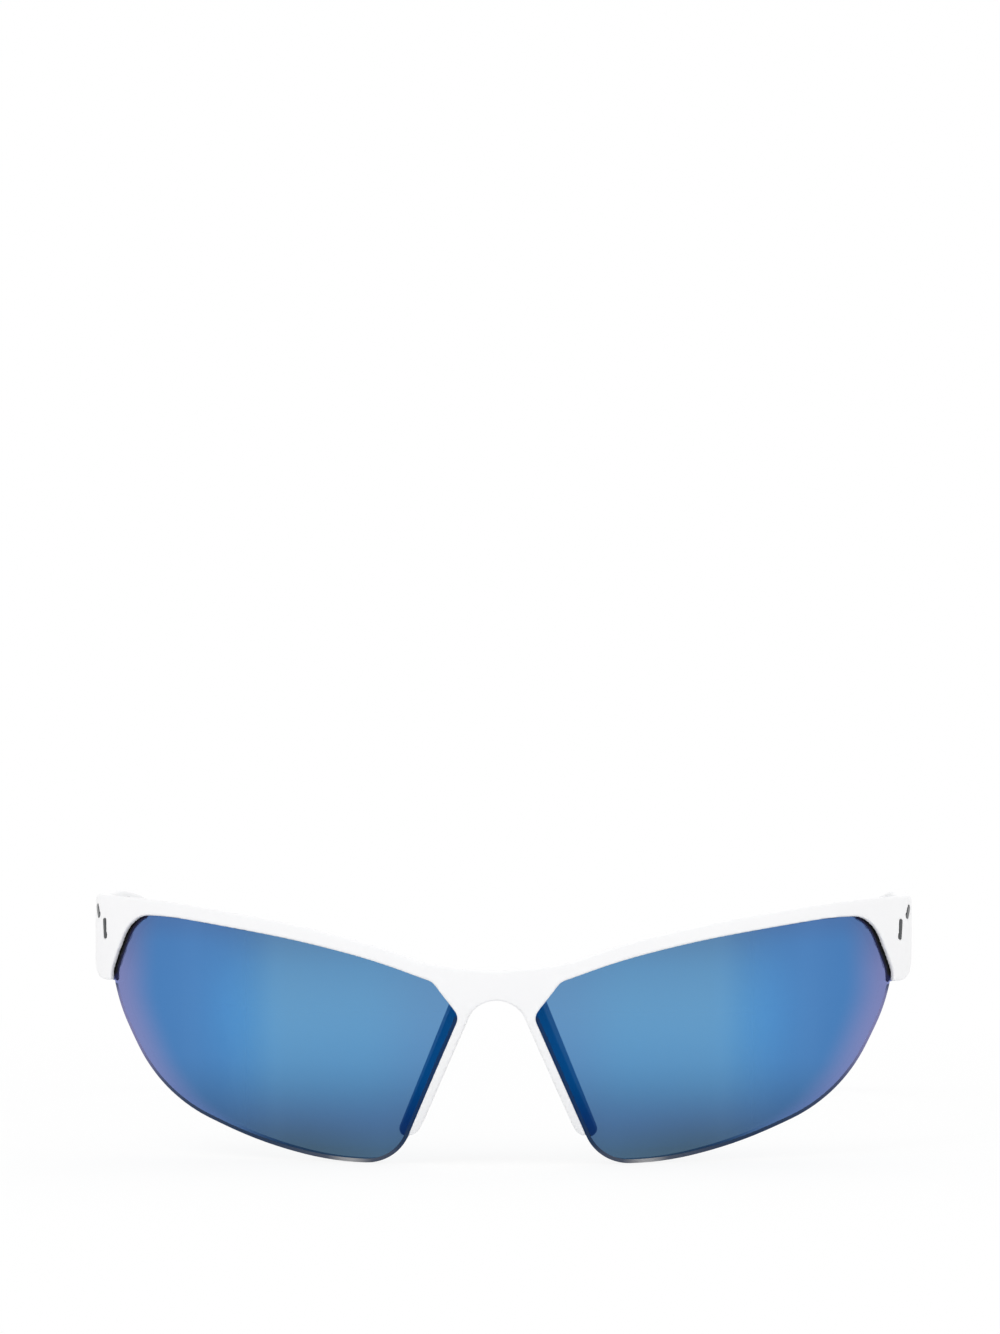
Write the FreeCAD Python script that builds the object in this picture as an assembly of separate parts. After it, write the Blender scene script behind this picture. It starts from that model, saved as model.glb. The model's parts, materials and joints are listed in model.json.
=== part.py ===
# Wraparound half-rim sunglasses: two mirror lenses in a nylon front, with folding temples.
# Millimetres, +Z up. The lenses face -Y, the temples run back along +Y, X runs from side to side.
# Everything is laid out about the centre of the lens sphere, on the +X side, and mirrored.
# At the end it is moved so that it stands on z = 0 with the origin under the middle of its box.
import FreeCAD, Part
import math
import os
from FreeCAD import Vector

# Lenses: both lie on one sphere, each cut about an axis turned outwards from straight ahead
LENS_RADIUS = 88.0
LENS_THICKNESS = 2.0
LENS_WRAP = 26.0
# The outline is drawn on the plane that touches the sphere at the lens axis
LENS_WIDTH = 72.5
LENS_HEIGHT = 43.4
LENS_NASAL_REACH = 35.6
LENS_DEPTH_BELOW = 30.55
TIP_ROUND = 2.0
BROW_ROUND = 1.5
OUTER_ROUND = 7.3
SIDE_ROUND = 4.4
LOWER_ROUND = 9.5
# Corners as shares of the width and height; a corner without a radius is as round as its sides allow
LENS_CORNERS = [
    (0.000, 0.6205, TIP_ROUND),
    (0.070, 0.7600, BROW_ROUND),
    (0.220, 0.8408, None),
    (0.407, 0.9068, None),
    (0.580, 0.9490, None),
    (0.790, 0.9945, None),
    (0.921, 1.0000, OUTER_ROUND),
    (1.000, 0.7513, SIDE_ROUND),
    (0.966, 0.6172, None),
    (0.862, 0.3646, None),
    (0.749, 0.2264, None),
    (0.523, 0.0923, None),
    (0.343, 0.0183, None),
    (0.178, 0.0000, LOWER_ROUND),
]
TIP_CORNER = 0
BROW_END_CORNER = 5
OUTER_CORNER = 6
SIDE_CORNER = 7

# Fit between pieces that are pushed or glued together
FIT = 0.05

# Rim: a groove between two lips holds the upper edge of the lens
LIP_OVERLAP = 0.8
FRONT_LIP = 0.9
BACK_LIP = 0.7
RIM_HEIGHT = 2.6
RIM_TAIL_AT_NOSE = 0.6
RIM_TAIL_AT_SIDE = 1.1

# Gasket: a dark strip between the outer edge of the lens and the end-piece
GASKET_WIDTH = 1.25
GASKET_TOP_SHARE = 0.5

# Bridge, drawn on the plane that touches the sphere straight ahead
BRIDGE_HALF_WIDTH = 12.0
BRIDGE_TOP = 4.3
BRIDGE_TOP_AT_ENDS = 5.6
NOSE_ARCH_HALF_WIDTH = 5.0
NOSE_ARCH_TOP = -0.7
NOSE_ARCH_FOOT = -4.4
NOSE_ARCH_FLARE = 17.3
# The legs follow the nasal edges of the lenses; each ends in an arc on its nose side
LEG_FOOT_HALF_WIDTH = 16.0
LEG_END_ARC = [(15.0, -24.2), (13.7, -23.5), (13.0, -22.2)]

# Nose pads slipped over thin arms that run down behind the nasal edges, measured along and across them,
# and lean a little to the nose
PAD_START = -2.8
PAD_LENGTH = 25.3
PAD_THICKNESS = 2.1
PAD_LEAN = 1.2
PAD_INSET = -0.35
PAD_SPLAY = 5.0
PAD_REAR = 10.5
PAD_ROUND = 0.8
PAD_END_ROUND = 1.7
NOSE_ARM_THICKNESS = 0.8
NOSE_ARM_ROUND = 0.26
NOSE_ARM_COVER = 0.9
NOSE_ARM_START = -4.6
NOSE_ARM_ROOT_LENGTH = 3.4
NOSE_ARM_TO_PAD_END = 3.0
NOSE_ARM_TO_PAD_REAR = 2.0

# End-pieces: the rim runs on round a bend and straight back to the parting plane at the hinge
END_RUN_ON = 1.35
END_BEND_RADIUS = 8.2
END_STRAIGHT = 6.8
END_THICKNESS = 3.0
END_ABOVE_LENS = 2.45
END_BELOW_SIDE = 1.15
END_EDGE_ROUND = 0.9
END_EDGE_ROUND_AT_RIM = 0.2
SIDE_CROWN = 0.1
BEND_STATIONS = 3
STRAIGHT_STATIONS = 2
TEMPLE_HEIGHT = 7.5

# Plain dark inlays let into the bend: share of the bend, distance below its top, length, height and slant
INLAY_DEPTH = 0.7
INLAY_END_ROUND = 0.44
INLAY_PLACES = [
    (0.11, 5.7, 0.65, 3.5, 14),
    (0.60, 2.85, 0.9, 2.7, 42),
]

# Hinge: a vertical screw through three knuckles on the inner side
AXIS_INSET = 1.0
KNUCKLES = 3
KNUCKLE_RADIUS = 1.3
KNUCKLE_RELIEF = 0.35
KNUCKLE_GAP = 0.1
HINGE_HEIGHT = 5.2
HINGE_DROP = 0.3
HINGE_GAP = 0.15
PLATE_THICKNESS = 0.8
PLATE_SINK = 0.5
PLATE_TO_BEND = 0.6
NECK_LENGTH = 1.75
HINGE_SCREW_RADIUS = 0.7
HINGE_SCREW_CLEARANCE = 0.05
HINGE_HEAD_RADIUS = 1.15
HINGE_HEAD_HEIGHT = 0.6
PLATE_SCREW_RADIUS = 0.5
PLATE_SCREW_LENGTH = 2.4
PLATE_HEAD_RADIUS = 0.85
PLATE_HEAD_HEIGHT = 0.4
PLATE_SCREW_SPACING = 3.0
PLATE_SCREW_FROM_END = 1.5
SLOT_WIDTH = 0.25
SLOT_DEPTH = 0.2

# Temples: an arm that curves in and down, then a rubber tip on a wire core, bent behind the ear
ARM_LENGTH = 76.0
ARM_CONVERGE = 4.1
ARM_DROP = 6.5
ARM_REAR_THICKNESS = 2.8
ARM_REAR_HEIGHT = 5.4
ARM_STATIONS = 5
TIP_THICKNESS = 3.4
TIP_HEIGHT = 6.2
TIP_LEAD = 6.0
EAR_BEND_RADIUS = 30.0
EAR_ANGLE = 38.0
EAR_STATIONS = 4
TIP_EDGE_ROUND = 1.2
TIP_END_STATIONS = 4
TIP_END_ANGLE = 76.0
TIP_SINK = 0.12
WIRE_RADIUS = 0.6
WIRE_IN_ARM = 22.0
WIRE_SHORT_OF_TIP = 7.0

# Distances used only to reach past what is cut, and the shortest edge worth drawing
FAR = 200.0
LEAST_EDGE = 0.0005
CONE_NEAR = 0.8
CONE_FAR = 1.1

CENTRE = Vector(0, 0, 0)
UP = Vector(0, 0, 1)
BACK = Vector(0, 1, 0)
RIGHT = Vector(1, 0, 0)
BACK_RADIUS = LENS_RADIUS - LENS_THICKNESS
RIM_OUTER = LENS_RADIUS + FRONT_LIP
RIM_INNER = BACK_RADIUS - BACK_LIP
RIM_MIDDLE = (RIM_OUTER + RIM_INNER) / 2
PAD_FRONT_RADIUS = RIM_INNER - FIT
END_TOP = LENS_HEIGHT - LENS_DEPTH_BELOW + END_ABOVE_LENS
END_FOOT_AT_RIM = LENS_CORNERS[SIDE_CORNER][1] * LENS_HEIGHT - LENS_DEPTH_BELOW - END_BELOW_SIDE


def ball(radius):
    return Part.makeSphere(radius, CENTRE)


def shell(outer, inner):
    return ball(outer).cut(ball(inner))


def rounded_wire(points, radii):
    # Closed wire through corner points in one plane, each corner rounded as far as its sides allow
    count = len(points)
    spans = []
    for i in range(count):
        to_last = points[i - 1] - points[i]
        to_next = points[(i + 1) % count] - points[i]
        room = min(to_last.Length, to_next.Length) / 2
        half = to_last.getAngle(to_next) / 2
        tangent = room
        if radii[i] is not None:
            tangent = min(room, radii[i] / math.tan(half))
        to_last.normalize()
        to_next.normalize()
        middle = to_last + to_next
        middle.normalize()
        radius = tangent * math.tan(half)
        start = points[i] + to_last * tangent
        end = points[i] + to_next * tangent
        through = points[i] + middle * (radius / math.sin(half) - radius)
        spans.append((start, through, end))
    edges = []
    for i in range(count):
        start, through, end = spans[i]
        edges.append(Part.Arc(start, through, end).toShape())
        following = spans[(i + 1) % count][0]
        if end.distanceToPoint(following) > LEAST_EDGE:
            edges.append(Part.LineSegment(end, following).toShape())
    return Part.Wire(edges)


def polygon_wire(points):
    return Part.makePolygon(points + [points[0]])


def lens_plane_corners(offset):
    # Outline corners on the touching plane, every side moved outwards by the offset
    flat = []
    for across, up, radius in LENS_CORNERS:
        flat.append((across * LENS_WIDTH - LENS_NASAL_REACH, up * LENS_HEIGHT - LENS_DEPTH_BELOW, radius))
    moved = []
    for i, (across, up, radius) in enumerate(flat):
        last = flat[i - 1]
        following = flat[(i + 1) % len(flat)]
        normal_in = outward(last, flat[i])
        normal_out = outward(flat[i], following)
        share = offset / (1 + normal_in.dot(normal_out))
        corner = Vector(across, 0, up) + (normal_in + normal_out) * share
        moved.append((corner.x, corner.z, None if radius is None else radius + offset))
    return moved


def outward(start, end):
    normal = Vector(start[1] - end[1], 0, end[0] - start[0])
    normal.normalize()
    return normal


def cone(make_wire, turn):
    # Solid between a flat outline at two distances from the sphere's centre, turned about the vertical
    solid = Part.makeLoft([make_wire(CONE_NEAR), make_wire(CONE_FAR)], True, True)
    solid.rotate(CENTRE, UP, turn)
    return solid


def lens_cone(offset, slide=0.0):
    corners = lens_plane_corners(offset)
    radii = [radius for across, up, radius in corners]

    def make_wire(share):
        points = [Vector((p + slide) * share, -LENS_RADIUS * share, q * share) for p, q, radius in corners]
        return rounded_wire(points, [None if radius is None else radius * share for radius in radii])

    return cone(make_wire, LENS_WRAP)


def plane_cone(flat_points, turn):
    def make_wire(share):
        return polygon_wire([Vector(p * share, -LENS_RADIUS * share, q * share) for p, q in flat_points])

    return cone(make_wire, turn)


def rim_zone(drop):
    # The upper part of the outline, above a line from the nasal tip to the foot of the gasket
    corners = lens_plane_corners(0)
    tip = corners[TIP_CORNER]
    side = corners[SIDE_CORNER]
    left = (tip[0], tip[1] - RIM_TAIL_AT_NOSE - drop)
    right = (side[0], side[1] - RIM_TAIL_AT_SIDE - drop)
    slope = (right[1] - left[1]) / (right[0] - left[0])
    low_left = left[1] - slope * LENS_WIDTH / 2
    low_right = right[1] + slope * LENS_WIDTH / 2
    edge_left = left[0] - LENS_WIDTH / 2
    edge_right = right[0] + LENS_WIDTH / 2
    top = LENS_HEIGHT
    corners = [(edge_left, low_left), (edge_left, top), (edge_right, top), (edge_right, low_right)]
    return plane_cone(corners, LENS_WRAP)


def gasket_zone(spread):
    # Around the outer edge only, from part-way round the outer corner down to a rounded end at the side
    corners = lens_plane_corners(0)
    outer = corners[OUTER_CORNER]
    side = corners[SIDE_CORNER]
    inner_edge = outer[0] - OUTER_ROUND * GASKET_TOP_SHARE - spread
    end_radius = GASKET_WIDTH / 2
    end_up = side[1] - RIM_TAIL_AT_SIDE + end_radius
    top = LENS_HEIGHT
    outer_edge = side[0] + LENS_WIDTH / 2
    edges = [(inner_edge, end_up), (inner_edge, top), (outer_edge, top), (outer_edge, end_up)]

    def end_wire(share):
        middle = Vector(side[0] - GASKET_WIDTH, -LENS_RADIUS, end_up) * share
        return Part.Wire([Part.makeCircle((end_radius + spread) * share, middle, BACK)])

    return plane_cone(edges, LENS_WRAP).fuse(cone(end_wire, LENS_WRAP))


def make_lens():
    visible = lens_cone(0)
    held = lens_cone(LIP_OVERLAP).common(rim_zone(0))
    strip = lens_cone(LIP_OVERLAP + FIT).cut(lens_cone(-FIT, -GASKET_WIDTH)).common(gasket_zone(FIT))
    blank = visible.fuse(held).cut(strip)
    return shell(LENS_RADIUS, BACK_RADIUS).common(blank).removeSplitter()


def make_gasket():
    strip = lens_cone(LIP_OVERLAP).cut(lens_cone(0, -GASKET_WIDTH)).common(gasket_zone(0))
    return shell(LENS_RADIUS, BACK_RADIUS).common(strip)


def make_groove():
    held = lens_cone(LIP_OVERLAP + FIT).common(rim_zone(FIT))
    return shell(LENS_RADIUS + FIT, BACK_RADIUS - FIT).common(lens_cone(0).fuse(held))


def lean(height):
    # How far the sphere has drawn in at a height
    return RIM_OUTER - math.sqrt(RIM_OUTER ** 2 - height ** 2)


def plan_point(turn, radius):
    return Vector(radius * math.sin(turn), -radius * math.cos(turn), 0)


SIDE_TURN = math.radians(LENS_WRAP) + math.atan2(LENS_WIDTH - LENS_NASAL_REACH, LENS_RADIUS)
BEND_START = SIDE_TURN + END_RUN_ON / RIM_MIDDLE
BEND_CENTRE = plan_point(BEND_START, RIM_MIDDLE) - plan_point(BEND_START, END_BEND_RADIUS)
HINGE_Y = BEND_CENTRE.y + END_STRAIGHT
PLATE_LENGTH = END_STRAIGHT - PLATE_TO_BEND
HINGE_MIDDLE_X = BEND_CENTRE.x + END_BEND_RADIUS
INNER_FACE_X = HINGE_MIDDLE_X - END_THICKNESS / 2
END_FOOT = END_TOP - TEMPLE_HEIGHT
TEMPLE_MIDDLE_Z = END_TOP - TEMPLE_HEIGHT / 2
HINGE_MIDDLE_Z = TEMPLE_MIDDLE_Z - HINGE_DROP
HINGE_AXIS = Vector(INNER_FACE_X - AXIS_INSET, HINGE_Y, 0)


def bar_section(middle, side, up, thickness, foot, top, corner, lean_share=0.0):
    # Rounded bar section with crowned sides; at a full lean share it is a radial cut of the rim
    heights = [foot, (foot + top) / 2, top]
    crowns = [0, SIDE_CROWN, 0]
    shrink = 1 - lean_share * (1 - RIM_INNER / RIM_OUTER)
    outer = []
    inner = []
    for height, crown in zip(heights, crowns):
        drawn_in = lean_share * lean(height)
        outer.append(middle + side * (thickness / 2 + crown - drawn_in) + up * height)
        inner.append(middle + side * (crown - thickness / 2 - drawn_in * shrink) + up * (height * shrink))
    radii = [corner, None, corner]
    return rounded_wire(outer + inner[::-1], radii + radii)


def bend_thickness(share):
    rim_thickness = RIM_OUTER - RIM_INNER
    return rim_thickness + (END_THICKNESS - rim_thickness) * share


def bend_turn(share):
    return BEND_START + (math.pi / 2 - BEND_START) * share


def ease(share):
    # Smooth start and end
    return share * share * (3 - 2 * share)


def end_foot(run):
    # Lower edge of the end-piece, easing up from the rim to the temple over the bend and the straight
    length = (math.pi / 2 - BEND_START) * END_BEND_RADIUS + END_STRAIGHT
    return END_FOOT_AT_RIM + (END_FOOT - END_FOOT_AT_RIM) * ease(run / length)


def bend_section(share):
    turn = bend_turn(share)
    middle = BEND_CENTRE + plan_point(turn, END_BEND_RADIUS)
    foot = end_foot((turn - BEND_START) * END_BEND_RADIUS)
    corner = END_EDGE_ROUND_AT_RIM + (END_EDGE_ROUND - END_EDGE_ROUND_AT_RIM) * share
    side = plan_point(turn, 1)
    return bar_section(middle, side, UP, bend_thickness(share), foot, END_TOP, corner, 1 - share)


def make_end_piece():
    # Starts flat on the end of the rim and ends square at the parting plane
    sections = [bend_section(i / BEND_STATIONS) for i in range(BEND_STATIONS + 1)]
    for i in range(1, STRAIGHT_STATIONS + 1):
        run = END_STRAIGHT * i / STRAIGHT_STATIONS
        middle = Vector(HINGE_MIDDLE_X, BEND_CENTRE.y + run, 0)
        foot = end_foot((math.pi / 2 - BEND_START) * END_BEND_RADIUS + run)
        sections.append(bar_section(middle, RIGHT, UP, END_THICKNESS, foot, END_TOP, END_EDGE_ROUND))
    return Part.makeLoft(sections, True, False)


def rim_wing():
    # Carries the brow of the rim on to the bend, on the lens plane
    end = LENS_RADIUS * math.tan(BEND_START - math.radians(LENS_WRAP))
    start = lens_plane_corners(RIM_HEIGHT)[BROW_END_CORNER]

    def level(height):
        return height * math.hypot(LENS_RADIUS, end) / math.sqrt(RIM_OUTER ** 2 - height ** 2)

    top = level(END_TOP)
    foot = level(END_FOOT_AT_RIM)
    return plane_cone([(start[0], start[1]), (end, top), (end, foot), (start[0], foot)], LENS_WRAP)


def inlay_block(share, below, length, height, slant, grow):
    # Reaches from outside the bend down to the floor of the inlay
    turn = bend_turn(share)
    middle = END_TOP - below
    surface = END_BEND_RADIUS + bend_thickness(share) / 2 - (1 - share) * lean(middle)
    floor = surface - INLAY_DEPTH - grow
    reach = END_BEND_RADIUS
    corner = Vector(-length / 2 - grow, -floor - reach, middle - height / 2 - grow)
    block = Part.makeBox(length + 2 * grow, reach, height + 2 * grow, corner)
    through = [edge for edge in block.Edges if edge.BoundBox.YLength > reach / 2]
    block = block.makeFillet(length * INLAY_END_ROUND + grow, through)
    block.rotate(UP * middle, BACK, slant)
    block.rotate(CENTRE, UP, math.degrees(turn))
    block.translate(BEND_CENTRE)
    return block


def make_inlays():
    end_piece = make_end_piece()
    return Part.makeCompound([end_piece.common(inlay_block(*place, 0)) for place in INLAY_PLACES])


def plate(direction, low, high):
    # Hinge leaf plate let into the inner face, from its neck at the axis to its far end
    x = HINGE_AXIS.x + AXIS_INSET + PLATE_SINK - PLATE_THICKNESS
    start = HINGE_Y + direction * NECK_LENGTH
    end = HINGE_Y + direction * PLATE_LENGTH
    foot = HINGE_MIDDLE_Z - HINGE_HEIGHT / 2
    wide = Part.makeBox(PLATE_THICKNESS, abs(end - start), HINGE_HEIGHT, Vector(x, min(start, end), foot))
    neck_corner = Vector(x, min(start, HINGE_Y), low)
    neck = Part.makeBox(PLATE_THICKNESS, NECK_LENGTH, high - low, neck_corner)
    return wide.fuse(neck)


def knuckle(low, high, radius):
    return Part.makeCylinder(radius, high - low, HINGE_AXIS + UP * low)


def knuckle_levels():
    foot = HINGE_MIDDLE_Z - HINGE_HEIGHT / 2
    each = (HINGE_HEIGHT - (KNUCKLES - 1) * KNUCKLE_GAP) / KNUCKLES
    step = each + KNUCKLE_GAP
    return [(foot + i * step, foot + i * step + each) for i in range(KNUCKLES)]


def plate_screw_places(direction):
    y = HINGE_Y + direction * (PLATE_LENGTH - PLATE_SCREW_FROM_END)
    inner = HINGE_AXIS.x + AXIS_INSET + PLATE_SINK - PLATE_THICKNESS
    offsets = (-PLATE_SCREW_SPACING / 2, PLATE_SCREW_SPACING / 2)
    return [Vector(inner, y, HINGE_MIDDLE_Z + offset) for offset in offsets]


def plate_screw(place, grow):
    head = Part.makeCylinder(PLATE_HEAD_RADIUS + grow, PLATE_HEAD_HEIGHT + grow, place, RIGHT)
    shank = Part.makeCylinder(PLATE_SCREW_RADIUS + grow, PLATE_SCREW_LENGTH + grow, place, RIGHT)
    return head.fuse(shank)


def slotted_screw(place):
    screw = plate_screw(place, 0)
    slot = Part.makeBox(SLOT_DEPTH, SLOT_WIDTH, FAR, place - Vector(0, SLOT_WIDTH / 2, FAR / 2))
    return screw.cut(slot)


def hinge_leaf(direction, levels):
    leaf = None
    for low, high in levels:
        piece = knuckle(low, high, KNUCKLE_RADIUS).fuse(plate(direction, low, high))
        leaf = piece if leaf is None else leaf.fuse(piece)
    bore = knuckle(-FAR, FAR, HINGE_SCREW_RADIUS + HINGE_SCREW_CLEARANCE)
    leaf = leaf.cut(bore)
    for place in plate_screw_places(direction):
        leaf = leaf.cut(plate_screw(place, FIT))
    return leaf.removeSplitter()


def hinge_pocket(direction):
    # Room for the leaf plate, its screws and the knuckles in the plastic behind it
    foot = HINGE_MIDDLE_Z - HINGE_HEIGHT / 2
    high = foot + HINGE_HEIGHT
    reach = END_BEND_RADIUS
    x = HINGE_AXIS.x + AXIS_INSET - reach
    length = PLATE_LENGTH + FIT
    y = HINGE_Y if direction > 0 else HINGE_Y - length
    pocket = Part.makeBox(reach + PLATE_SINK, length, HINGE_HEIGHT + 2 * FIT, Vector(x, y, foot - FIT))
    relief_top = high + HINGE_HEAD_HEIGHT + KNUCKLE_GAP
    relief = knuckle(foot - KNUCKLE_GAP, relief_top, KNUCKLE_RADIUS + KNUCKLE_RELIEF)
    pocket = pocket.fuse(relief)
    for place in plate_screw_places(direction):
        pocket = pocket.fuse(plate_screw(place, FIT))
    return pocket


def make_hinge_screw():
    foot = HINGE_MIDDLE_Z - HINGE_HEIGHT / 2
    high = foot + HINGE_HEIGHT
    shank = knuckle(foot, high, HINGE_SCREW_RADIUS)
    head = knuckle(high, high + HINGE_HEAD_HEIGHT, HINGE_HEAD_RADIUS)
    slot_floor = HINGE_AXIS + UP * (high + HINGE_HEAD_HEIGHT - SLOT_DEPTH)
    slot = Part.makeBox(FAR, SLOT_WIDTH, FAR, slot_floor - Vector(FAR / 2, SLOT_WIDTH / 2, 0))
    return shank.fuse(head).cut(slot).removeSplitter()


def surface_point(across, up, radius):
    # Point of the lens sphere, or one inside it, behind a point of the lens plane
    point = Vector(across, -LENS_RADIUS, up)
    point.multiply(radius / point.Length)
    return FreeCAD.Rotation(UP, LENS_WRAP).multVec(point)


def nasal_frame():
    # Start of the nasal edge at the lens back, its direction down the edge, and the way across the lens
    corners = lens_plane_corners(0)
    top = corners[TIP_CORNER]
    low = corners[-1]
    start = surface_point(top[0], top[1], BACK_RADIUS)
    end = surface_point(low[0], low[1], BACK_RADIUS)
    along = Vector(end.x - start.x, 0, end.z - start.z)
    along.normalize()
    along = FreeCAD.Rotation(BACK, PAD_LEAN).multVec(along)
    across = Vector(-along.z, 0, along.x)
    return Vector(start.x, 0, start.z), along, across


def nasal_slab(start, length, inset, thickness, rear, corner, end_corner):
    # The end corner is the lower one on the side away from the nose
    origin, along, across = nasal_frame()
    front_y = -LENS_RADIUS
    base = origin + along * start + across * inset + BACK * front_y
    low = base + along * length
    points = [base, low, low + across * thickness, base + across * thickness]
    face = Part.Face(rounded_wire(points, [corner, corner, end_corner, corner]))
    depth = rear - front_y
    return face.extrude(BACK * depth + across * (depth * math.tan(math.radians(PAD_SPLAY))))


def make_nose_arm(grow):
    # The root reaches forward to the back lip of the rim; the rest stays inside the pad
    inset = PAD_INSET + (PAD_THICKNESS - NOSE_ARM_THICKNESS) / 2 - grow
    start = NOSE_ARM_START - grow
    length = PAD_START + PAD_LENGTH - NOSE_ARM_TO_PAD_END - NOSE_ARM_START + 2 * grow
    rear = PAD_REAR - LENS_RADIUS - NOSE_ARM_TO_PAD_REAR + grow
    thickness = NOSE_ARM_THICKNESS + 2 * grow
    corner = NOSE_ARM_ROUND + grow
    root = nasal_slab(start, NOSE_ARM_ROOT_LENGTH + 2 * grow, inset, thickness, rear, corner, corner)
    blade = nasal_slab(start, length, inset, thickness, rear, corner, corner)
    root = root.common(ball(BACK_RADIUS - FIT + grow))
    return root.fuse(blade.common(ball(PAD_FRONT_RADIUS - NOSE_ARM_COVER + grow)))


def make_nose_pad():
    rear_y = PAD_REAR - LENS_RADIUS
    slab = nasal_slab(PAD_START, PAD_LENGTH, PAD_INSET, PAD_THICKNESS, rear_y, PAD_ROUND, PAD_END_ROUND)
    rear_edges = [edge for edge in slab.Edges if abs(edge.BoundBox.YMin - rear_y) < FIT]
    slab = slab.makeFillet(PAD_ROUND / 2, rear_edges)
    return slab.common(ball(PAD_FRONT_RADIUS)).cut(make_nose_arm(FIT))


def make_bridge():
    def arc(share, half, foot, top):
        ends = [Vector(side * half * share, -LENS_RADIUS * share, foot * share) for side in (-1, 1)]
        middle = Vector(0, -LENS_RADIUS * share, top * share)
        return Part.Arc(ends[0], middle, ends[1]).toShape(), ends

    def bridge_wire(share):
        top, top_ends = arc(share, BRIDGE_HALF_WIDTH, BRIDGE_TOP_AT_ENDS, BRIDGE_TOP)
        edges = [top]
        inner_ends = []
        for side, top_end in zip((-1, 1), top_ends):
            low, through, inner = [Vector(side * x, -LENS_RADIUS, z) * share for x, z in LEG_END_ARC]
            foot = Vector(side * LEG_FOOT_HALF_WIDTH * share, low.y, low.z)
            edges.append(Part.LineSegment(top_end, foot).toShape())
            edges.append(Part.LineSegment(foot, low).toShape())
            edges.append(Part.Arc(low, through, inner).toShape())
            inner_ends.append(inner)
        edges.append(Part.LineSegment(inner_ends[0], inner_ends[1]).toShape())
        return Part.Wire(Part.__sortEdges__(edges))

    def arch_wire(share):
        top, top_ends = arc(share, NOSE_ARCH_HALF_WIDTH, NOSE_ARCH_FOOT, NOSE_ARCH_TOP)
        flare = NOSE_ARCH_HALF_WIDTH + NOSE_ARCH_FLARE
        low = Vector(0, -LENS_RADIUS, -LENS_HEIGHT)
        low_ends = [(low + RIGHT * (side * flare)) * share for side in (-1, 1)]
        right = Part.LineSegment(top_ends[1], low_ends[1]).toShape()
        base = Part.LineSegment(low_ends[1], low_ends[0]).toShape()
        left = Part.LineSegment(low_ends[0], top_ends[0]).toShape()
        return Part.Wire([top, right, base, left])

    return cone(bridge_wire, 0), cone(arch_wire, 0)


def mirrored(shape):
    return shape.mirror(CENTRE, RIGHT)


def make_front():
    rim = shell(RIM_OUTER, RIM_INNER)
    band = lens_cone(RIM_HEIGHT).common(rim_zone(0))
    bridge, arch = make_bridge()
    half = rim.common(band.fuse(rim_wing())).fuse(make_end_piece())
    front = rim.common(bridge).fuse([half, mirrored(half)])
    visible = lens_cone(0)
    groove = make_groove()
    front = front.cut([arch, visible, mirrored(visible), groove, mirrored(groove)])
    arm = make_nose_arm(0)
    front = front.fuse([arm, mirrored(arm)])
    pocket = hinge_pocket(-1)
    cuts = [pocket] + [inlay_block(*place, FIT) for place in INLAY_PLACES]
    return front.cut(cuts + [mirrored(cut) for cut in cuts]).removeSplitter()


def arm_place(share):
    # Middle of the temple arm at a share of its length, curving in and down
    inward = ARM_CONVERGE * share ** 2
    drop = ARM_DROP * share ** 2
    return Vector(HINGE_MIDDLE_X - inward, HINGE_Y + HINGE_GAP + ARM_LENGTH * share, TEMPLE_MIDDLE_Z - drop)


def centred_section(middle, side, up, thickness, height, corner):
    return bar_section(middle, side, up, thickness, -height / 2, height / 2, corner)


def make_arm():
    sections = []
    for i in range(ARM_STATIONS):
        share = i / (ARM_STATIONS - 1)
        thickness = END_THICKNESS + (ARM_REAR_THICKNESS - END_THICKNESS) * ease(share)
        height = TEMPLE_HEIGHT + (ARM_REAR_HEIGHT - TEMPLE_HEIGHT) * ease(share)
        sections.append(centred_section(arm_place(share), RIGHT, UP, thickness, height, END_EDGE_ROUND))
    return Part.makeLoft(sections, True, False)


ARM_END = arm_place(1)
REAR_IN = math.atan(2 * ARM_CONVERGE / ARM_LENGTH)
REAR_SLOPE = math.atan(2 * ARM_DROP / ARM_LENGTH)
REAR_WAY = Vector(-math.sin(REAR_IN), math.cos(REAR_IN), 0)
REAR_SIDE = Vector(math.cos(REAR_IN), math.sin(REAR_IN), 0)
EAR_SLOPE = math.radians(EAR_ANGLE)


def way(slope):
    return REAR_WAY * math.cos(slope) - UP * math.sin(slope)


def rise(slope):
    return REAR_WAY * math.sin(slope) + UP * math.cos(slope)


BEND_IN = ARM_END + way(REAR_SLOPE) * TIP_LEAD
EAR_CENTRE = BEND_IN - rise(REAR_SLOPE) * EAR_BEND_RADIUS
BEND_OUT = EAR_CENTRE + rise(EAR_SLOPE) * EAR_BEND_RADIUS


def tip_length(floor):
    # Straight run that brings the rounded end down to the surface the part stands on
    return (BEND_OUT.z - floor - TIP_HEIGHT / 2 + TIP_SINK) / math.sin(EAR_SLOPE)


def make_wire_core(floor, radius, spare):
    start = ARM_END - way(REAR_SLOPE) * (WIRE_IN_ARM + spare)
    end = BEND_OUT + way(EAR_SLOPE) * (tip_length(floor) - WIRE_SHORT_OF_TIP + spare)
    half_slope = (REAR_SLOPE + EAR_SLOPE) / 2
    through = EAR_CENTRE + rise(half_slope) * EAR_BEND_RADIUS
    edges = [Part.LineSegment(start, BEND_IN).toShape()]
    edges.append(Part.Arc(BEND_IN, through, BEND_OUT).toShape())
    edges.append(Part.LineSegment(BEND_OUT, end).toShape())
    ring = Part.Wire([Part.makeCircle(radius, start, way(REAR_SLOPE))])
    return Part.Wire(edges).makePipeShell([ring], True, False)


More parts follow.
